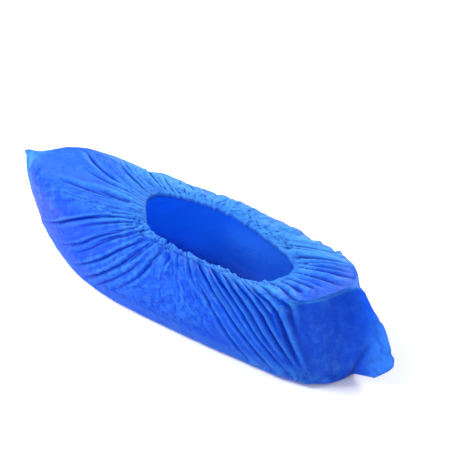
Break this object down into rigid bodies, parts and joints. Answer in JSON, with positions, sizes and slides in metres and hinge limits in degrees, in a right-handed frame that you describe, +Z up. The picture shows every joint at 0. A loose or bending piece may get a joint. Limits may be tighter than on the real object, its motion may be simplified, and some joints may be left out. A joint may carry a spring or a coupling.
{
  "type": "shoe cover",
  "caption": "Disposable overshoe of thin blue plastic film: a boat-shaped bag with an elastic foot opening, gathered top and flat welded corners at toe and heel.",
  "frame": {"origin": "on the sole's underside, in the middle of its width, near the middle of its length", "axes": "+X towards the heel, -X towards the toe, +Z up, away from the floor"},
  "size_m": [0.3799, 0.1042, 0.0762],
  "materials": {
    "blue_film": "thin satin polyethylene film, embossed and creased",
    "elastic": "matte elastic thread"
  },
  "bodies": {
    "root": {"film_bag": "blue_film", "elastic_thread": "elastic"}
  },
  "joints": []
}
